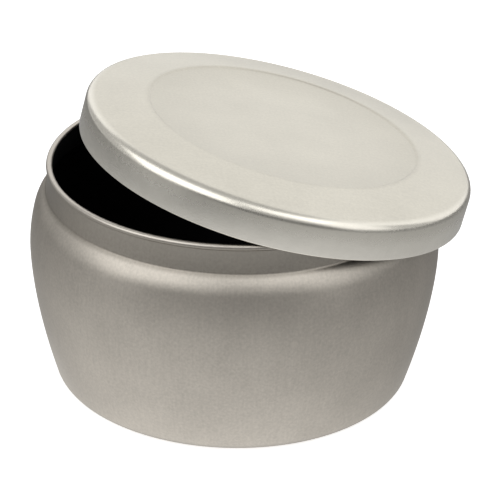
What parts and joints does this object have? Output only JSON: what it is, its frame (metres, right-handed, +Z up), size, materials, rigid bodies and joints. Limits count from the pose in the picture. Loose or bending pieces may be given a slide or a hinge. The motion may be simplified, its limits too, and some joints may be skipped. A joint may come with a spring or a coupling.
{
  "type": "candle tin",
  "caption": "Round belly-shaped drawn tin with a necked-in rolled rim, open, with its slip lid leaning loose across the mouth.",
  "frame": {"origin": "centre of the base, on the surface that the tin stands on", "axes": "+Z up along the tin's axis; +X is the way the lid leans, towards its low side; +Y completes the frame"},
  "size_m": [0.0943, 0.088, 0.0644],
  "materials": {
    "tin_body": "satin tinplate, black lacquer inside",
    "lid": "satin tinplate, black lacquer inside"
  },
  "bodies": {
    "tin": {"tin_body": "tin_body"},
    "lid": {"lid": "lid"}
  },
  "joints": [
    {"name": "lid_lift", "type": "slide", "parent": "tin", "child": "lid", "axis": [0, 0, 1], "range_m": [0, 0.06]}
  ]
}
